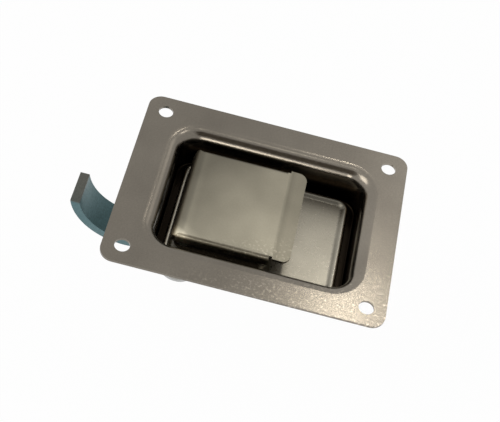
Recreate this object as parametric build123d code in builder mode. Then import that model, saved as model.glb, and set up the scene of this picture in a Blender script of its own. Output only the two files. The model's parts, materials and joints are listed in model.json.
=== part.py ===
from build123d import *
import os
from math import cos, radians, sin

# Flush compression latch. X runs along the flange, Y across it, Z out of the panel.
# The origin is the centre of the four screw holes, on the back face of the flange.

# ---- sheet and running fits -------------------------------------------------------
sheet = 1.2                     # stainless sheet of the frame, dish and paddle
bend_radius = 1.0               # inside radius of a folded edge
running_fit = 0.05              # radial clearance of a part that turns on a pin
side_gap = 0.25                 # clearance between plates that slide past each other
seat_gap = 0.1                  # clearance of a plate nested in another

# ---- frame ------------------------------------------------------------------------
flange_length = 110.0
flange_width = 85.0
flange_corner = 5.5
screw_inset = 7.75              # hole centre to flange edge
screw_hole = 6.0                # clears an M5 screw
collar_length = 77.0            # wall to wall, inside the frame
collar_width = 54.6
collar_offset = 0.8             # centre of the collar, from the holes' centre towards the lip
collar_corner = 8.0
shoulder_radius = 5.5           # drawn radius from the flange into the collar
gutter_depth = 17.0             # flange back to the ledge
ledge_end = 8.5                 # ledge left at each end of its opening
ledge_opening_corner = 3.0

# ---- inner dish -------------------------------------------------------------------
side_gutter = 2.9               # open channel between the dish and a long collar wall
end_gutter = 3.6                # the same at the two ends
dish_corner = 5.4
rim_depth = 11.8                # flange back to the top of the dish rim
dish_depth = 13.3               # flange back to the dish floor
rim_slope = 2.6                 # level distance over which the rim rises
rim_flat = 1.6                  # level strip of floor inside the slope
floor_fold = 1.8                # radii to the middle of the sheet
rim_fold = 0.9
foot_fold = 0.7
foot_clearance = 0.3            # foot of the dish to the rivet heads beside it
window_length = 22.5            # window in the dish floor for the linkage
window_lead = 2.0               # closed end of the paddle to the window

# ---- paddle -----------------------------------------------------------------------
paddle_end_gap = 6.2            # collar wall to the closed end of the paddle
paddle_edge_gap = 4.9           # collar wall to each long side of the paddle
paddle_fold = 7.5               # where the side walls stop and the lip begins
paddle_lip = 15.6
paddle_drop = 1.0               # flange back to the top of the paddle
paddle_wall = 4.8               # height of the side walls
paddle_end_radius = 4.7
paddle_side_radius = 2.3
paddle_corner = 3.0
lip_corner = 3.5
lip_bend = 9.0                  # where the lip starts to tip down
lip_tip_drop = 0.4
relief_length = 1.2             # notch between the side wall and the lip
relief_depth = 1.1

# ---- toggle linkage ---------------------------------------------------------------
paddle_pivot_inset = 5.5        # closed end of the paddle to its pin
paddle_pivot_depth = 7.8        # flange back to the paddle pin
hook_pivot_lead = 0.3           # the hook pin lies this much nearer the closed end
hook_pivot_depth = 26.2
crank_length = 12.5             # paddle pin to crank pin
link_length = 14.0              # crank pin to link pin
toggle_angle = 70.0             # crank and link below level, in line when closed
link_slack = 1.95               # travel of the link pin in its slot
slot_gap = 0.32                 # clearance of the link pin in its slot
paddle_pin_diameter = 4.0
hook_pin_diameter = 5.0
crank_pin_diameter = 4.0
link_pin_diameter = 4.0
head_height = 1.0
head_rim = 1.2                  # how far a pin head stands out past its pin
rivet_rim = 0.7

# ---- folded brackets and plates ---------------------------------------------------
bracket_sheet = 1.2             # paddle bracket
crank_sheet = 1.5
link_thickness = 1.8
link_end_radius = 3.4
link_waist = 4.8
ear_sheet = 1.5                 # pivot brackets under the ledge
ear_radius = 6.0
ear_foot_length = 24.0
ear_foot_lead = 8.0             # foot beyond the hook pin, towards the hook
ear_rivet_lead = 0.5            # hook pin to the first rivet
ear_rivet_pitch = 11.0
ear_rivet_diameter = 3.0
rivet_edge = 0.75               # rivet head to the edge of the ledge opening
lug_boss = 3.4                  # radius of the lugs that hold the paddle pin
lug_base = 8.0
lug_lean = 2.5                  # middle of a lug's base, past the pin
pivot_boss = 3.6                # radius of the paddle plates round their pin
paddle_rest_gap = 0.3           # closed paddle to the dish floor
bracket_corner = 6.0
crank_web = 12.0
spacer_wall = 0.8

# ---- hook -------------------------------------------------------------------------
hook_width = 15.0
hook_thickness = 3.8
hook_arc_radius = 22.0          # to the middle of the bar
hook_tip_depth = 17.1           # flange back to the end face of the hook
hook_arm_rise = 10.0            # slope of the straight arm
hook_arm_start = 22.3           # end of the bend to the hook pin, along the arm
hook_arm_end = 5.3              # arm past the hook pin
hook_bar_drop = 6.2             # hook pin to the middle of the bar, square to the arm
carrier_sheet = 2.0
carrier_start = -16.5           # along the arm, from the hook pin
carrier_boss = 5.5
carrier_link_boss = 4.0
hook_rivet_start = 13.0         # farther rivet to the hook pin, along the arm
hook_rivet_pitch = 6.5
hook_rivet_diameter = 4.0

# ---- return spring ----------------------------------------------------------------
spring_wire = 1.1
spring_radius = 3.2             # to the middle of the wire
spring_pitch = 1.3
spring_turns = 4
spring_start = -72.0            # angle on the coil where the lower leg leaves it
spring_finish = 85.0            # angle on the coil where the upper leg leaves it
spring_lower_leg = 5.6
spring_upper_leg = 3.2

# ---- derived places ---------------------------------------------------------------
ledge_underside = -(gutter_depth + sheet)
collar_left = collar_offset - collar_length / 2
dish_length = collar_length - 2 * end_gutter
dish_width = collar_width - 2 * side_gutter
paddle_left = collar_left + paddle_end_gap
paddle_width = collar_width - 2 * paddle_edge_gap
paddle_pivot = (paddle_left + paddle_pivot_inset, -paddle_pivot_depth)
hook_pivot = (paddle_pivot[0] - hook_pivot_lead, -hook_pivot_depth)
paddle_top = -paddle_drop
paddle_inside = paddle_top - sheet
bracket_outer = paddle_width / 2 - sheet - seat_gap
bracket_inner = bracket_outer - bracket_sheet
carrier_inner = hook_width / 2 + side_gap
carrier_outer = carrier_inner + carrier_sheet
link_inner = carrier_outer + 2 * side_gap
link_outer = link_inner + link_thickness
crank_inner = link_outer + side_gap
crank_outer = crank_inner + crank_sheet
linkage_room = crank_outer + head_height + side_gap
lug_outer = linkage_room + sheet
rivet_head_radius = ear_rivet_diameter / 2 + rivet_rim
ear_rivet_row = linkage_room + rivet_edge + rivet_head_radius
ear_inner = ear_rivet_row + rivet_head_radius + bend_radius + seat_gap
ear_foot_inner = ear_rivet_row - rivet_head_radius - seat_gap
ear_foot_middle = hook_pivot[0] - ear_foot_lead + ear_foot_length / 2
first_rivet = hook_pivot[0] + ear_rivet_lead
rivet_places = [
    (x, y) for x in (first_rivet, first_rivet + ear_rivet_pitch) for y in (-ear_rivet_row, ear_rivet_row)
]
hook_rivet_stations = (-hook_rivet_start, hook_rivet_pitch - hook_rivet_start)
toggle_x = cos(radians(toggle_angle))
toggle_z = -sin(radians(toggle_angle))
crank_pin_at = (paddle_pivot[0] + crank_length * toggle_x, paddle_pivot[1] + crank_length * toggle_z)
link_pin_at = (crank_pin_at[0] + link_length * toggle_x, crank_pin_at[1] + link_length * toggle_z)


def across(distance):
    """Upright plane along X, this far from the centre plane towards -Y."""
    return Plane.XZ.offset(distance)


def at_height(shapes, height):
    """The faces or level edges that lie at this Z."""
    return shapes.filter_by(lambda shape: round(shape.center().Z - height, 4) == 0)


def write(piece, name):
    piece.part.label = name
    export_step(piece.part, f"parts/{name}.step")


def headed_pin(at, diameter, seat):
    """Round pin along Y with a flat head bearing on each outer seat."""
    with BuildPart() as pin:
        with BuildSketch(Plane.XZ):
            with Locations(at):
                Circle(diameter / 2)
        extrude(amount=seat, both=True)
        for face in (across(seat), across(-seat - head_height)):
            with BuildSketch(face):
                with Locations(at):
                    Circle(diameter / 2 + head_rim)
            extrude(amount=head_height)
        rims = pin.edges().filter_by(GeomType.CIRCLE)
        chamfer(rims.group_by(Axis.Y)[0] + rims.group_by(Axis.Y)[-1], head_height / 3)
    return pin


def spacer_pair(at, bore, inner, outer):
    """Two tubes on a pin, one on each side of the centre plane."""
    with BuildPart() as tubes:
        with BuildSketch(across(inner)):
            with Locations(at):
                Circle(bore / 2 + spacer_wall)
                Circle(bore / 2, mode=Mode.SUBTRACT)
        extrude(amount=outer - inner)
        mirror(about=Plane.XZ)
    return tubes


# ---- front frame: flange, drawn shoulder, collar and ledge in one sheet -----------
with BuildPart() as front_frame:
    with BuildSketch(Plane.XY):
        RectangleRounded(flange_length, flange_width, flange_corner)
    extrude(amount=sheet)
    with BuildSketch(Plane.XY.offset(ledge_underside)):
        with Locations((collar_offset, 0)):
            RectangleRounded(collar_length + 2 * sheet, collar_width + 2 * sheet, collar_corner + sheet)
    extrude(amount=-ledge_underside)
    flange_back = at_height(front_frame.faces().filter_by(Axis.Z), 0)[0]
    fillet(flange_back.inner_wires()[0].edges(), shoulder_radius - sheet)
    fillet(front_frame.faces().sort_by(Axis.Z)[0].edges(), bend_radius + sheet)
    with BuildSketch(Plane.XY.offset(-gutter_depth)):
        with Locations((collar_offset, 0)):
            RectangleRounded(collar_length, collar_width, collar_corner)
    extrude(amount=gutter_depth + sheet, mode=Mode.SUBTRACT)
    ledge_top = at_height(front_frame.faces().filter_by(Axis.Z), -gutter_depth)[0]
    fillet(ledge_top.edges(), bend_radius)
    fillet(front_frame.faces().sort_by(Axis.Z)[-1].inner_wires()[0].edges(), shoulder_radius)
    with BuildSketch(Plane.XY.offset(ledge_underside)):
        with Locations((collar_offset, 0)):
            RectangleRounded(collar_length - 2 * ledge_end, 2 * linkage_room, ledge_opening_corner)
        with Locations(*rivet_places):
            Circle(ear_rivet_diameter / 2)
    extrude(amount=sheet, mode=Mode.SUBTRACT)
    with GridLocations(flange_length - 2 * screw_inset, flange_width - 2 * screw_inset, 2, 2):
        Hole(screw_hole / 2)

# ---- inner dish: floor with a raised rim that rolls over into a skirt and a foot ---
skirt_half = dish_length / 2 - sheet / 2
skirt_right = collar_offset + skirt_half
skirt_left = collar_offset - skirt_half
foot_width = dish_width / 2 - ear_rivet_row - rivet_head_radius - foot_clearance
with BuildPart() as inner_dish:
    with BuildLine() as rim_path:
        half_y = dish_width / 2 - sheet / 2
        FilletPolyline(
            (skirt_right, 0),
            (skirt_right, half_y),
            (skirt_left, half_y),
            (skirt_left, 0),
            radius=dish_corner - sheet / 2,
        )
        mirror(about=Plane.XZ)
    with BuildSketch(Plane.XZ) as rim_section:
        with BuildLine() as rim_line:
            FilletPolyline(
                (skirt_right - rim_slope - rim_flat, -dish_depth - sheet / 2),
                (skirt_right - rim_slope, -dish_depth - sheet / 2),
                (skirt_right, -rim_depth - sheet / 2),
                (skirt_right, -gutter_depth + sheet / 2),
                (skirt_right - foot_width + sheet / 2, -gutter_depth + sheet / 2),
                radius=[floor_fold, rim_fold, foot_fold],
            )
        trace(line_width=sheet)
    sweep(path=rim_path.wire())
    with BuildSketch(Plane.XY.offset(-dish_depth)):
        floor_inset = sheet + 2 * (rim_slope + bend_radius)
        with Locations((collar_offset, 0)):
            RectangleRounded(dish_length - floor_inset, dish_width - floor_inset, bend_radius)
    extrude(amount=-sheet)
    with BuildSketch(Plane.XY.offset(-dish_depth)):
        window_left = paddle_left + window_lead
        with Locations((window_left + window_length / 2, 0)):
            RectangleRounded(window_length, 2 * linkage_room, ledge_opening_corner)
    extrude(amount=-sheet, mode=Mode.SUBTRACT)

# ---- lugs on the dish floor that hold the paddle pin --------------------------------
with BuildPart() as pin_lugs:
    with BuildSketch(across(linkage_room)):
        with Locations(paddle_pivot):
            Circle(lug_boss)
        with Locations((paddle_pivot[0] + lug_lean, -dish_depth + sheet / 2)):
            Rectangle(lug_base, sheet)
        make_hull()
        with Locations(paddle_pivot):
            Circle(paddle_pin_diameter / 2, mode=Mode.SUBTRACT)
    extrude(amount=sheet)
    with BuildSketch(Plane.XY.offset(-dish_depth)):
        lug_foot = bracket_inner - side_gap - linkage_room
        with Locations((paddle_pivot[0] + lug_lean, -linkage_room - lug_foot / 2)):
            Rectangle(lug_base, lug_foot)
    extrude(amount=sheet)
    folds = pin_lugs.edges().filter_by(Axis.X)
    fillet(at_height(folds, -dish_depth).sort_by(Axis.Y)[-1], bend_radius)
    mirror(about=Plane.XZ)

# ---- pivot brackets: folded ears riveted under the ledge ---------------------------
under_foot = ledge_underside - ear_sheet
with BuildPart() as near_pivot_bracket:
    with BuildSketch(across(ear_inner)):
        with Locations(hook_pivot):
            Circle(ear_radius)
        with Locations((ear_foot_middle, ledge_underside - ear_sheet / 2)):
            Rectangle(ear_foot_length, ear_sheet)
        make_hull()
        with Locations(hook_pivot):
            Circle(hook_pin_diameter / 2, mode=Mode.SUBTRACT)
    extrude(amount=ear_sheet)
    with BuildSketch(Plane.XY.offset(ledge_underside)):
        foot_span = ear_inner + ear_sheet - ear_foot_inner
        with Locations((ear_foot_middle, -ear_foot_inner - foot_span / 2)):
            Rectangle(ear_foot_length, foot_span)
        with Locations(*rivet_places):
            Circle(ear_rivet_diameter / 2, mode=Mode.SUBTRACT)
    extrude(amount=-ear_sheet)
    folds = near_pivot_bracket.edges().filter_by(Axis.X)
    outside_fold = at_height(folds, ledge_underside).sort_by(Axis.Y)[0]
    fillet(outside_fold, bend_radius + ear_sheet)
    folds = near_pivot_bracket.edges().filter_by(Axis.X)
    inside_fold = at_height(folds, under_foot).sort_by(Axis.Y)[0]
    fillet(inside_fold, bend_radius)

with BuildPart() as far_pivot_bracket:
    add(near_pivot_bracket.part)
    mirror(about=Plane.XZ, mode=Mode.REPLACE)

with BuildPart() as bracket_rivets:
    with BuildSketch(Plane.XY.offset(-gutter_depth)):
        with Locations(*rivet_places):
            Circle(ear_rivet_diameter / 2)
    extrude(amount=-(sheet + ear_sheet))
    for seat, height in ((-gutter_depth, head_height), (under_foot, -head_height)):
        with BuildSketch(Plane.XY.offset(seat)):
            with Locations(*rivet_places):
                Circle(rivet_head_radius)
        extrude(amount=height)

# ---- fixed pins and their spacers -------------------------------------------------
with BuildPart() as paddle_pin:
    with BuildSketch(Plane.XZ):
        with Locations(paddle_pivot):
            Circle(paddle_pin_diameter / 2)
    extrude(amount=bracket_outer, both=True)
    chamfer(paddle_pin.edges().filter_by(GeomType.CIRCLE), head_height / 3)

hook_pin = headed_pin(hook_pivot, hook_pin_diameter, ear_inner + ear_sheet)
paddle_pin_spacers = spacer_pair(paddle_pivot, paddle_pin_diameter, lug_outer, bracket_inner - side_gap)
hook_pin_spacers = spacer_pair(hook_pivot, hook_pin_diameter, carrier_outer + side_gap, ear_inner)

# ---- paddle -----------------------------------------------------------------------
paddle_bottom = paddle_top - paddle_wall


def paddle_block(inset):
    """Solid with the paddle's drawn outside, smaller by the inset on every closed side."""
    left = paddle_left + inset
    right = paddle_fold + inset
    top = paddle_top - inset
    bottom = paddle_bottom - inset
    half = paddle_width / 2 - inset
    with BuildPart() as block:
        with BuildSketch(Plane.XZ):
            with BuildLine():
                FilletPolyline((left, bottom), (left, top), (right, top), radius=paddle_end_radius - inset)
                Polyline((right, top), (right, bottom), (left, bottom))
            make_face()
        extrude(amount=half, both=True)
        with BuildSketch(Plane.XY.offset(bottom)):
            with Locations(((left + right) / 2, 0)):
                RectangleRounded(right - left, 2 * half, paddle_corner - inset)
            with Locations((right, 0)):
                Rectangle(2 * paddle_corner, 2 * half, align=(Align.MAX, Align.CENTER))
        extrude(amount=top - bottom, mode=Mode.INTERSECT)
        with BuildSketch(Plane.YZ.offset(left)):
            with BuildLine():
                FilletPolyline(
                    (-half, bottom), (-half, top), (half, top), (half, bottom),
                    radius=paddle_side_radius - inset,
                )
                Line((half, bottom), (-half, bottom))
            make_face()
        extrude(amount=right - left, mode=Mode.INTERSECT)
    return block.part


with BuildPart() as paddle_shell:
    add(paddle_block(0))
    add(paddle_block(sheet), mode=Mode.SUBTRACT)
    with BuildSketch(Plane.XZ):
        with BuildLine():
            Polyline(
                (paddle_fold, paddle_top),
                (lip_bend, paddle_top),
                (paddle_lip, paddle_top - lip_tip_drop),
                (paddle_lip, paddle_inside - lip_tip_drop),
                (lip_bend, paddle_inside),
                (paddle_fold, paddle_inside),
                close=True,
            )
        make_face()
    extrude(amount=paddle_width / 2, both=True)
    fillet(paddle_shell.edges().filter_by(Axis.Z).group_by(Axis.X)[-1], lip_corner)
    with BuildSketch(Plane.XY.offset(paddle_top)):
        with Locations(*[(paddle_fold, side * paddle_width / 2) for side in (-1, 1)]):
            Rectangle(relief_length, 2 * relief_depth, align=(Align.MIN, Align.CENTER))
    extrude(amount=-sheet, mode=Mode.SUBTRACT)

with BuildPart() as paddle_bracket:
    bracket_bottom = -dish_depth + paddle_rest_gap
    with BuildSketch(across(bracket_inner)):
        with Locations(paddle_pivot):
            Circle(pivot_boss)
        with Locations(((paddle_pivot[0] + paddle_fold) / 2, (paddle_inside + bracket_bottom) / 2)):
            Rectangle(paddle_fold - paddle_pivot[0], paddle_inside - bracket_bottom)
        make_hull()
        with Locations(paddle_pivot):
            Circle(paddle_pin_diameter / 2 + running_fit, mode=Mode.SUBTRACT)
    extrude(amount=bracket_sheet)
    mirror(about=Plane.XZ)
    with BuildSketch(Plane.XY.offset(paddle_inside)):
        with Locations(((paddle_pivot[0] + paddle_fold) / 2, 0)):
            Rectangle(paddle_fold - paddle_pivot[0], 2 * bracket_outer)
    extrude(amount=-bracket_sheet)
    fillet(at_height(paddle_bracket.edges().filter_by(Axis.X), paddle_inside), bend_radius)
    fillet(paddle_bracket.edges().filter_by(Axis.Y).group_by(Axis.Z)[0].group_by(Axis.X)[-1], bracket_corner)

crank_top = paddle_inside - bracket_sheet
web_left = crank_pin_at[0]
with BuildPart() as paddle_crank:
    crank_web_right = web_left + crank_web
    with BuildSketch(across(crank_inner)):
        with Locations(paddle_pivot, crank_pin_at):
            Circle(pivot_boss)
        for x in (web_left, crank_web_right - bend_radius):
            with Locations((x, crank_top - bend_radius)):
                Circle(bend_radius)
        make_hull()
        with Locations(paddle_pivot):
            Circle(paddle_pin_diameter / 2 + running_fit, mode=Mode.SUBTRACT)
        with Locations(crank_pin_at):
            Circle(crank_pin_diameter / 2, mode=Mode.SUBTRACT)
    extrude(amount=crank_sheet)
    mirror(about=Plane.XZ)
    with BuildSketch(Plane.XY.offset(crank_top)):
        with Locations(((web_left + crank_web_right - bend_radius) / 2, 0)):
            Rectangle(crank_web_right - bend_radius - web_left, 2 * crank_outer)
    extrude(amount=-crank_sheet)
    fillet(at_height(paddle_crank.edges().filter_by(Axis.X), crank_top), bend_radius)

crank_pin = headed_pin(crank_pin_at, crank_pin_diameter, crank_outer)

# ---- links: waisted plates, slotted at the hook end --------------------------------
with BuildPart() as near_link:
    link_plane = Plane(
        origin=(crank_pin_at[0], -link_inner, crank_pin_at[1]),
        x_dir=(toggle_x, 0, toggle_z),
        z_dir=(0, -1, 0),
    )
    with BuildSketch(link_plane):
        Circle(link_end_radius)
        with Locations((link_length / 2, 0)):
            Rectangle(link_length, link_waist)
        with Locations((link_length - link_slack / 2, 0)):
            SlotCenterToCenter(link_slack, 2 * link_end_radius)
        Circle(crank_pin_diameter / 2 + running_fit, mode=Mode.SUBTRACT)
        with Locations((link_length - link_slack / 2, 0)):
            SlotCenterToCenter(link_slack, link_pin_diameter + 2 * slot_gap, mode=Mode.SUBTRACT)
    extrude(amount=link_thickness)

with BuildPart() as far_link:
    add(near_link.part)
    mirror(about=Plane.XZ, mode=Mode.REPLACE)

# ---- hook: bent bar riveted into a folded carrier -----------------------------------
arm_x = cos(radians(hook_arm_rise))
arm_z = sin(radians(hook_arm_rise))
arc_end = (
    hook_pivot[0] - hook_arm_start * arm_x + hook_bar_drop * arm_z,
    hook_pivot[1] - hook_arm_start * arm_z - hook_bar_drop * arm_x,
)
hook_arc_centre = (arc_end[0] - hook_arc_radius * arm_z, arc_end[1] + hook_arc_radius * arm_x)


def on_arm(distance, depth=0.0):
    """X, Z of a place along the arm from the hook pin, this far under the bar's middle."""
    run = hook_arm_start + distance
    return (arc_end[0] + run * arm_x + depth * arm_z, arc_end[1] + run * arm_z - depth * arm_x)


def arm_plane(distance, depth):
    """Plane square to the bar, facing away from its underside, at a place along the arm."""
    x, z = on_arm(distance, depth)
    return Plane(origin=(x, 0, z), x_dir=(arm_x, 0, arm_z), z_dir=(-arm_z, 0, arm_x))


with BuildPart() as hook_strap:
    with BuildSketch(Plane.XZ):
        with BuildLine():
            CenterArc(hook_arc_centre, hook_arc_radius, 180, 90 + hook_arm_rise)
            Line(arc_end, on_arm(hook_arm_end))
        trace(line_width=hook_thickness)
    extrude(amount=hook_width / 2, both=True)
    split(bisect_by=Plane.XY.offset(-hook_tip_depth), keep=Keep.BOTTOM)
    for station in hook_rivet_stations:
        with BuildSketch(arm_plane(station, hook_thickness / 2)):
            Circle(hook_rivet_diameter / 2)
        extrude(amount=hook_thickness, mode=Mode.SUBTRACT)

web_top = hook_thickness / 2
web_bottom = web_top + carrier_sheet
with BuildPart() as hook_carrier:
    with BuildSketch(across(carrier_inner)):
        with Locations(hook_pivot):
            Circle(carrier_boss)
        leg_places = [(carrier_start, 0), (carrier_start, web_bottom - bend_radius),
                      (hook_arm_end - bend_radius, web_bottom - bend_radius)]
        with Locations(*[on_arm(distance + bend_radius, depth) for distance, depth in leg_places]):
            Circle(bend_radius)
        make_hull()
    extrude(amount=carrier_sheet)
    with BuildSketch(across(carrier_inner)):
        with Locations(hook_pivot):
            Circle(carrier_boss)
        with Locations(link_pin_at):
            Circle(carrier_link_boss)
        make_hull()
    extrude(amount=carrier_sheet)
    mirror(about=Plane.XZ)
    with BuildSketch(arm_plane((carrier_start + hook_arm_end) / 2, web_top)):
        Rectangle(hook_arm_end - carrier_start, 2 * carrier_outer)
        with Locations(*[(station - (carrier_start + hook_arm_end) / 2, 0) for station in hook_rivet_stations]):
            Circle(hook_rivet_diameter / 2, mode=Mode.SUBTRACT)
    extrude(amount=-carrier_sheet)
    for at, diameter in (
        (hook_pivot, hook_pin_diameter + 2 * running_fit),
        (link_pin_at, link_pin_diameter),
    ):
        with BuildSketch(Plane.XZ):
            with Locations(at):
                Circle(diameter / 2)
        extrude(amount=carrier_outer, both=True, mode=Mode.SUBTRACT)

with BuildPart() as hook_rivets:
    for station in hook_rivet_stations:
        with BuildSketch(arm_plane(station, web_bottom)):
            Circle(hook_rivet_diameter / 2)
        extrude(amount=hook_thickness + carrier_sheet)
        for depth, height in ((-web_top, head_height), (web_bottom, -head_height)):
            with BuildSketch(arm_plane(station, depth)):
                Circle(hook_rivet_diameter / 2 + rivet_rim)
            extrude(amount=height)

link_pin = headed_pin(link_pin_at, link_pin_diameter, link_outer + side_gap)

# ---- return spring: one leg bears on the dish, the other under the paddle ------------
coil_turns = spring_turns + (spring_finish - spring_start) / 360
coil_length = coil_turns * spring_pitch
coil_plane = Plane(
    origin=(paddle_pivot[0], coil_length / 2, paddle_pivot[1]),
    x_dir=(cos(radians(spring_start)), 0, sin(radians(spring_start))),
    z_dir=(0, -1, 0),
)
coil = coil_plane * Helix(spring_pitch, coil_length, spring_radius)
with BuildPart() as return_spring:
    with BuildSketch(Plane(origin=coil @ 0, z_dir=coil % 0)):
        Circle(spring_wire / 2)
    sweep(path=coil)
    for end, direction, length in ((0, -1, spring_lower_leg), (1, 1, spring_upper_leg)):
        with BuildSketch(Plane(origin=coil @ end, z_dir=(coil % end) * direction)):
            Circle(spring_wire / 2)
        extrude(amount=length)

os.makedirs("parts", exist_ok=True)
write(front_frame, "front_frame")
write(inner_dish, "inner_dish")
write(pin_lugs, "pin_lugs")
write(near_pivot_bracket, "near_pivot_bracket")
write(far_pivot_bracket, "far_pivot_bracket")
write(bracket_rivets, "bracket_rivets")
write(paddle_pin, "paddle_pin")
write(paddle_pin_spacers, "paddle_pin_spacers")
write(hook_pin, "hook_pin")
write(hook_pin_spacers, "hook_pin_spacers")
write(return_spring, "return_spring")
write(paddle_shell, "paddle_shell")
write(paddle_bracket, "paddle_bracket")
write(paddle_crank, "paddle_crank")
write(crank_pin, "crank_pin")
write(near_link, "near_link")
write(far_link, "far_link")
write(link_pin, "link_pin")
write(hook_carrier, "hook_carrier")
write(hook_strap, "hook_strap")
write(hook_rivets, "hook_rivets")
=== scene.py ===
import json
import bpy
from math import cos, radians, sin
from mathutils import Matrix, Vector


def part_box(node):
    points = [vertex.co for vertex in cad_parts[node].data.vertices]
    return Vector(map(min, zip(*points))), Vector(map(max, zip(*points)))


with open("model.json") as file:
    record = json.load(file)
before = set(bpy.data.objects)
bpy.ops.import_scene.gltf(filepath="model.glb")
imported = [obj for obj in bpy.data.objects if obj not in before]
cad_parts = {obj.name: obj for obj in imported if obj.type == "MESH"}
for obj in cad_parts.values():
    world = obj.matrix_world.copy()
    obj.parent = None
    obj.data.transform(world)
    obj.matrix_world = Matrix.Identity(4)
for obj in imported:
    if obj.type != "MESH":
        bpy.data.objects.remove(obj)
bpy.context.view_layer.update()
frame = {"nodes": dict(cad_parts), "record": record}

MM = 0.001

# ---- camera: a tilted phone view from above the near long edge ----------------------
VIEW_AZIMUTH = -0.75
VIEW_ELEVATION = 52.5
VIEW_ROLL = 15.0
VIEW_DISTANCE = 449.3 * MM
LENS = 82.8
SENSOR_WIDTH = 36.0
NEAREST_SEEN = 0.01
AIM_ALONG = -3.9 * MM           # from the middle of the flange
AIM_ACROSS = -4.3 * MM

# ---- studio -----------------------------------------------------------------------
FLOOR_SIZE = 3.0
FLOOR_DROP = 78.0 * MM          # flange to floor, so that the hook can swing right down
FLOOR_COLOUR = (0.90, 0.90, 0.89)
FLOOR_LIFT = 0.975              # share of plain white in the floor, to the camera and to reflections
SKY_LEVEL = 0.44                # light that the sky casts
SKY_GLOSS = 0.80                # sky as polished metal mirrors it
WHITE = (1, 1, 1, 1)
WARM_WINDOW = (1.0, 0.96, 0.88)
WARM_TOP = (1.0, 0.97, 0.90)
WARM_FRONT = (1.0, 0.96, 0.90)
WARM_SIDE = (1.0, 0.97, 0.92)
LAMPS = [                       # name, place and width in metres, power in watts, colour
    ("window", (0.130, 0.445, 0.752), 0.05, 0.165, WARM_WINDOW),
    ("top", (0.02, 0.02, 0.90), 0.10, 0.06, WARM_TOP),
    ("front", (-0.05, -0.85, 0.17), 0.22, 0.75, WARM_FRONT),
    ("left", (-0.567, -0.16, 0.68), 0.45, 1.7, WARM_SIDE),
    ("right", (0.40, 0.148, 0.788), 0.12, 0.30, WARM_SIDE),
    ("side", (0.457, 0.549, 0.545), 0.30, 0.15, WARM_SIDE),
]
CARD_PLACE = (0.0, -0.53, 0.60)
CARD_SIZE = 0.60
CARD_COLOUR = (0.25, 0.22, 0.19)

# ---- grain of the metals ------------------------------------------------------------
CLOUD_SCALE = 40                # noise scales, per metre of the object
PATCH_SCALE = 30
BLOTCH_SCALE = 900
GLOSS_SPREAD = 0.15             # share by which the roughness varies either way
RELIEF_DEPTH = 0.1 * MM
SCUFF_GLINT_GAIN = 2.0                # pale scuffs and painted glints, against the lighter tint


def new_material(name):
    """An empty node material with its output, and the two helpers that fill it."""
    material = bpy.data.materials.new(name)
    material.use_nodes = True
    tree = material.node_tree
    tree.nodes.clear()

    def node(kind, **values):
        made = tree.nodes.new("ShaderNode" + kind)
        for key, value in values.items():
            if hasattr(made, key):
                setattr(made, key, value)
            else:
                made.inputs[key.replace("_", " ")].default_value = value
        return made

    def link(source, target):
        tree.links.new(source, target)

    return material, node, link


def noise(node, link, coordinates, scale, detail=3.0, stretch=(1, 1, 1)):
    """A noise texture in the object's own metres, stretched along an axis if asked."""
    mapping = node("Mapping")
    mapping.inputs["Scale"].default_value = stretch
    link(coordinates, mapping.inputs["Vector"])
    texture = node("TexNoise", Scale=scale, Detail=detail)
    link(mapping.outputs["Vector"], texture.inputs["Vector"])
    return texture.outputs["Fac"]


def ramp(node, link, value, stops):
    """A colour ramp from position and grey or colour pairs."""
    made = node("ValToRGB")
    elements = made.color_ramp.elements
    while len(elements) < len(stops):
        elements.new(0.5)
    for element, (position, colour) in zip(elements, stops):
        element.position = position
        channels = colour if isinstance(colour, tuple) else (colour, colour, colour)
        element.color = (*channels, 1)
    link(value, made.inputs["Fac"])
    return made.outputs["Color"]


def mix_colour(node, link, factor, first, second, blend="MIX"):
    """Mix two colours by a factor; a plain number or tuple is set on the mix itself."""
    made = node("Mix", data_type="RGBA", blend_type=blend)
    if isinstance(factor, float):
        made.inputs["Factor"].default_value = factor
    else:
        link(factor, made.inputs["Factor"])
    link(first, made.inputs["A"])
    if isinstance(second, tuple):
        made.inputs["B"].default_value = (*second, 1)
    else:
        link(second, made.inputs["B"])
    return made.outputs["Result"]


def along(node, link, coordinates, direction, start, end):
    """0 to 1 between two stations, in mm, along a direction in the object's own space."""
    station = node("VectorMath", operation="DOT_PRODUCT")
    station.inputs[1].default_value = direction
    link(coordinates, station.inputs[0])
    span = node("MapRange", clamp=True)
    span.inputs["From Min"].default_value = start * MM
    span.inputs["From Max"].default_value = end * MM
    link(station.outputs["Value"], span.inputs["Value"])
    return span.outputs["Result"]


# ---- directions, and tints of painted shade, that the materials share ---------------
ALONG = (1, 0, 0)
NEARER = (0, -1, 0)
DEEPER = (0, 0, -1)
NEAR_LEFT = (-0.6, -0.8, 0)
# painted shade: tints for the collar's wall and gutter, the dish's underside and the paddle's side walls
WALL_SHADE = (0.52, 0.42, 0.33)
DEEP_SHADE = (0.035, 0.029, 0.024)
SHADE_TINT = (0.22, 0.19, 0.16)
POCKET_CENTRE = (0.8, 0, 20)    # over the middle of the collar


def facing_in(node, link, coordinates, normal, centre):
    """1 where a drawn sheet faces towards a centre, in mm: inside a pocket and not behind it."""
    inwards = node("VectorMath", operation="SUBTRACT")
    inwards.inputs[0].default_value = [MM * value for value in centre]
    link(coordinates, inwards.inputs[1])
    turn = node("VectorMath", operation="DOT_PRODUCT")
    link(inwards.outputs["Vector"], turn.inputs[0])
    link(normal, turn.inputs[1])
    inside = node("Math", operation="GREATER_THAN")
    inside.inputs[1].default_value = 0.0
    link(turn.outputs["Value"], inside.inputs[0])
    return inside.outputs[0]


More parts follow.
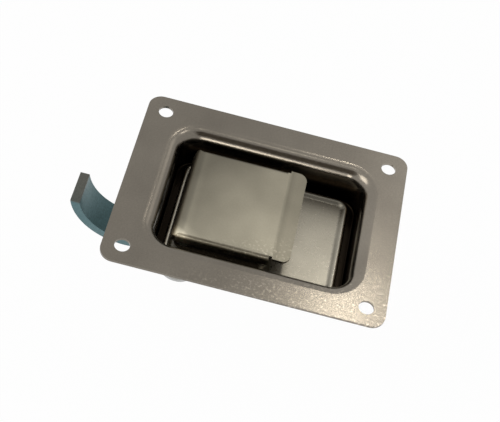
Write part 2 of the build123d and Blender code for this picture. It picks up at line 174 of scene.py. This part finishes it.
def metal(name, dark, light, rough, grain, contrast=0.10, mottle=0.3, bump=0.1, brush=(1, 1, 1),
          metallic=1.0, scuff_glint_along=None, shades=(), pocket=None):
    """Worn sheet or plated metal.

    Cloudy tint between dark and light, fine grain, pale specks of strength mottle, partly scuffs and
    partly painted glints, that gather where scuff_glint_along says, uneven gloss and a fine relief.
    Each of shades is a direction, two stations in mm and the tint stops between them, mostly painted
    light and shade, such as a face painted darker along its length. A pocket is a centre, two depths
    and the stops of the painted shade between them, on the inside alone.
    """
    material, node, link = new_material(name)
    place = node("TexCoord")
    coordinates = place.outputs["Object"]
    cloud = noise(node, link, coordinates, CLOUD_SCALE, 2.0)
    colour = ramp(node, link, cloud, [(0.30, dark), (0.70, light)])
    fine = noise(node, link, coordinates, grain, 4.0, brush)
    speckle = ramp(node, link, fine, [(0.30, 1.0 - contrast), (0.50, 1.0), (0.72, 1.0 + contrast)])
    colour = mix_colour(node, link, 1.0, colour, speckle, "MULTIPLY")
    blotch = noise(node, link, coordinates, BLOTCH_SCALE, 4.0)
    # pale specks: partly scuffs, partly painted glints
    if mottle > 0:
        spread = node("Math", operation="MULTIPLY")
        link(ramp(node, link, blotch, [(0.54, 0.0), (0.70, mottle)]), spread.inputs[0])
        if scuff_glint_along is None:
            patches = noise(node, link, coordinates, PATCH_SCALE, 2.0)
            link(ramp(node, link, patches, [(0.45, 0.0), (0.65, 1.0)]), spread.inputs[1])
        else:
            link(along(node, link, coordinates, *scuff_glint_along), spread.inputs[1])
        pale = tuple(SCUFF_GLINT_GAIN * channel for channel in light)
        colour = mix_colour(node, link, spread.outputs[0], colour, pale)
    # mostly painted light and shade, multiplied onto the colour along each direction
    for direction, start, end, stops in shades:
        tint = ramp(node, link, along(node, link, coordinates, direction, start, end), stops)
        colour = mix_colour(node, link, 1.0, colour, tint, "MULTIPLY")
    # painted shade: faces inside the pocket grow darker with depth
    if pocket is not None:
        centre, start, end, stops = pocket
        painted_pocket_shade = ramp(node, link, along(node, link, coordinates, DEEPER, start, end), stops)
        pocket_shaded = mix_colour(node, link, 1.0, colour, painted_pocket_shade, "MULTIPLY")
        inside = facing_in(node, link, coordinates, place.outputs["Normal"], centre)
        colour = mix_colour(node, link, inside, colour, pocket_shaded)
    shader = node("BsdfPrincipled", Metallic=metallic)
    link(colour, shader.inputs["Base Color"])
    gloss = node("MapRange", clamp=True)
    gloss.inputs["From Min"].default_value = 0.3
    gloss.inputs["From Max"].default_value = 0.7
    gloss.inputs["To Min"].default_value = rough * (1 - GLOSS_SPREAD)
    gloss.inputs["To Max"].default_value = rough * (1 + GLOSS_SPREAD)
    link(blotch, gloss.inputs["Value"])
    link(gloss.outputs["Result"], shader.inputs["Roughness"])
    relief = node("Bump", Strength=bump, Distance=RELIEF_DEPTH)
    link(fine, relief.inputs["Height"])
    link(relief.outputs["Normal"], shader.inputs["Normal"])
    output = node("OutputMaterial")
    link(shader.outputs["BSDF"], output.inputs["Surface"])
    return material


MATERIALS = {
    "satin_stainless": metal(
        "frame_steel", (0.186, 0.166, 0.138), (0.225, 0.202, 0.168), 0.21, 2600, bump=0.13,
        # pale scuffs and painted glints gather towards the near right corner
        brush=(0.6, 1, 1), mottle=0.9, scuff_glint_along=((0.30, -0.95, 0), 28, 48), shades=[
            # painted light: the flange brighter along +X, from 5 mm to 52 mm
            (ALONG, 5, 52, [(0.0, 1.0), (1.0, 1.38)])],
        # painted shade: inside the collar, brown down the wall and black in the gutter below
        pocket=(POCKET_CENTRE, 4.6, 14, [(0.0, 1.0), (0.17, WALL_SHADE), (0.45, WALL_SHADE), (0.9, DEEP_SHADE)])),
    "paddle_stainless": metal(
        "paddle_steel", (0.248, 0.228, 0.176), (0.342, 0.314, 0.244), 0.33, 2800, bump=0.06,
        # pale scuffs and painted glints gather towards the near edge
        brush=(1, 0.6, 1), contrast=0.05, mottle=0.8, scuff_glint_along=((0.35, -0.94, 0), 13, 24), shades=[
            # painted light and shade: a lighter band across the rolled left end, darker at its edge
            (ALONG, -31.5, -21.5, [(0.0, (0.84, 0.80, 0.74)), (0.38, 0.92), (0.52, 1.14), (0.75, 1.0)]),
            # painted highlight on the near left corner
            (NEAR_LEFT, 28, 35, [(0.0, 1.0), (0.5, 1.35), (0.9, 3.6)]),
            # painted light: darker towards the far left, brighter towards the near right
            ((0.8, -0.6, 0), -28, 16, [(0.0, 0.52), (0.40, 1.0), (1.0, 1.20)]),
            # painted shade: the lip darker, darkest at its crease
            (ALONG, 8, 20, [(0.0, 1.0), (0.12, 0.60), (0.30, 0.72), (0.75, 0.66)]),
            # painted shade: darker down the side walls
            (DEEPER, 4.6, 6.5, [(0.0, 1.0), (1.0, SHADE_TINT)])]),
    "dish_stainless": metal(
        "dish_steel", (0.228, 0.211, 0.172), (0.304, 0.282, 0.232), 0.30, 2600, contrast=0.03, mottle=0.1,
        bump=0.03, shades=[
            # painted shade: darker towards the far edge, lighter towards the near edge
            (NEARER, -19, 19, [(0.0, 0.60), (0.18, 0.98), (0.5, 1.25), (1.0, 1.55)]),
            # painted highlight: the rim above the floor 3.2 times brighter
            (DEEPER, 12.0, 12.5, [(0.0, 3.2), (1.0, 1.0)])],
        # painted shade: black below the floor, on the inside
        pocket=(POCKET_CENTRE, 13.7, 15.0, [(0.0, 1.0), (1.0, DEEP_SHADE)])),
    "blue_zinc": metal(
        "hook_zinc", (0.080, 0.178, 0.198), (0.130, 0.225, 0.240), 0.40, 1800, contrast=0.18, bump=0.2,
        brush=(1, 0.6, 1), metallic=0.40, shades=[
            (DEEPER, 17.2, 18.2, [(0.0, (0.90, 0.50, 0.40)), (1.0, 1.0)])]),
    "clear_zinc": metal(
        "bracket_zinc", (0.36, 0.36, 0.35), (0.50, 0.50, 0.49), 0.40, 2200, contrast=0.12, bump=0.15),
    "pin_steel": metal(
        "pin_steel", (0.28, 0.27, 0.25), (0.38, 0.37, 0.34), 0.30, 2600, contrast=0.15, mottle=0.0,
        brush=(1, 0.15, 1)),
    "spring_steel": metal(
        "spring_wire", (0.12, 0.12, 0.12), (0.20, 0.20, 0.19), 0.35, 3000, mottle=0.0),
}

BRACKET_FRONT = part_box("paddle_bracket")[1].x / MM
NODE_LOOKS = {
    "paddle_bracket": metal(
        "bracket_steel", (0.30, 0.28, 0.24), (0.38, 0.36, 0.31), 0.30, 2800, contrast=0.05, mottle=0.0,
        # painted shade behind the bracket's front edge and a painted highlight along it
        shades=[(ALONG, BRACKET_FRONT - 3.0, BRACKET_FRONT - 1.5, [(0.0, SHADE_TINT), (1.0, 2.2)])]),
}

slots = {entry["node"]: entry["material_slot"] for entry in frame["record"]["subparts"]}
for name, part in frame["nodes"].items():
    part.data.materials.clear()
    part.data.materials.append(NODE_LOOKS.get(name) or MATERIALS[slots[name]])

# ---- camera -----------------------------------------------------------------------
flange_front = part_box("front_frame")[1].z
aim = Vector((AIM_ALONG, AIM_ACROSS, flange_front))
azimuth, elevation = radians(VIEW_AZIMUTH), radians(VIEW_ELEVATION)
towards = Vector((sin(azimuth) * cos(elevation), -cos(azimuth) * cos(elevation), sin(elevation)))
camera_data = bpy.data.cameras.new("camera")
camera_data.lens = LENS
camera_data.sensor_width = SENSOR_WIDTH
camera_data.clip_start = NEAREST_SEEN
camera = bpy.data.objects.new("camera", camera_data)
bpy.context.scene.collection.objects.link(camera)
level = towards.to_track_quat("Z", "Y").to_matrix().to_4x4()
camera.matrix_world = (
    Matrix.Translation(aim + towards * VIEW_DISTANCE) @ level @ Matrix.Rotation(radians(VIEW_ROLL), 4, "Z"))
bpy.context.scene.camera = camera

# ---- floor, sky and lamps -----------------------------------------------------------


def square(name, size, material, height=0.0):
    """A level square about the frame's Z axis."""
    reach = size / 2
    round_it = ((-reach, -reach), (reach, -reach), (reach, reach), (-reach, reach))
    corners = [(x, y, height) for x, y in round_it]
    mesh = bpy.data.meshes.new(name)
    mesh.from_pydata(corners, [], [(0, 1, 2, 3)])
    mesh.materials.append(material)
    made = bpy.data.objects.new(name, mesh)
    bpy.context.scene.collection.objects.link(made)
    return made


def facing_object(place):
    """The matrix of a lamp or card at a place, turned to the frame's origin."""
    turn = Vector(place).to_track_quat("Z", "Y").to_matrix().to_4x4()
    return Matrix.Translation(place) @ turn


def floor_material():
    """Pale floor that looks near white, with a trace of the object's soft shadow on it."""
    material, node, link = new_material("pale_floor")
    paint = node("BsdfDiffuse", Color=(*FLOOR_COLOUR, 1))
    white = node("Emission", Color=WHITE, Strength=1.0)
    path = node("LightPath")
    seen = node("Math", operation="MAXIMUM")
    link(path.outputs["Is Camera Ray"], seen.inputs[0])
    link(path.outputs["Is Glossy Ray"], seen.inputs[1])
    share = node("Math", operation="MULTIPLY")
    share.inputs[1].default_value = FLOOR_LIFT
    link(seen.outputs[0], share.inputs[0])
    blend = node("MixShader")
    link(share.outputs[0], blend.inputs["Fac"])
    link(paint.outputs["BSDF"], blend.inputs[1])
    link(white.outputs["Emission"], blend.inputs[2])
    output = node("OutputMaterial")
    link(blend.outputs["Shader"], output.inputs["Surface"])
    return material


def white_sky():
    """A soft sky that light falls from, white to the camera and bright in reflections."""
    world = bpy.data.worlds.new("studio")
    bpy.context.scene.world = world
    world.use_nodes = True
    tree = world.node_tree
    tree.nodes.clear()
    soft = tree.nodes.new("ShaderNodeBackground")
    soft.inputs["Color"].default_value = WHITE
    soft.inputs["Strength"].default_value = SKY_LEVEL
    path = tree.nodes.new("ShaderNodeLightPath")
    shown = soft.outputs["Background"]
    for ray, level in (("Is Glossy Ray", SKY_GLOSS), ("Is Transmission Ray", 1.0), ("Is Camera Ray", 1.0)):
        white = tree.nodes.new("ShaderNodeBackground")
        white.inputs["Color"].default_value = WHITE
        white.inputs["Strength"].default_value = level
        blend = tree.nodes.new("ShaderNodeMixShader")
        tree.links.new(path.outputs[ray], blend.inputs["Fac"])
        tree.links.new(shown, blend.inputs[1])
        tree.links.new(white.outputs["Background"], blend.inputs[2])
        shown = blend.outputs["Shader"]
    output = tree.nodes.new("ShaderNodeOutputWorld")
    tree.links.new(shown, output.inputs["Surface"])


def lamp(name, place, size, power, colour):
    """A square soft lamp aimed at the object."""
    data = bpy.data.lights.new(name, "AREA")
    data.size = size
    data.energy = power
    data.color = colour
    made = bpy.data.objects.new(name, data)
    bpy.context.scene.collection.objects.link(made)
    made.matrix_world = facing_object(place)


def dark_card(name, place, size):
    """A dark card behind the camera, which only reflections see, as round a studio lens."""
    material, node, link = new_material(name)
    paint = node("BsdfDiffuse", Color=(*CARD_COLOUR, 1))
    output = node("OutputMaterial")
    link(paint.outputs["BSDF"], output.inputs["Surface"])
    card = square(name, size, material)
    card.matrix_world = facing_object(place)
    card.visible_camera = False
    card.visible_diffuse = False
    card.visible_shadow = False


floor = square("floor", FLOOR_SIZE, floor_material(), -FLOOR_DROP)
white_sky()
for name, place, size, power, colour in LAMPS:
    lamp(name, place, size, power, colour)
dark_card("flag", CARD_PLACE, CARD_SIZE)

bpy.context.scene.view_settings.view_transform = "Standard"
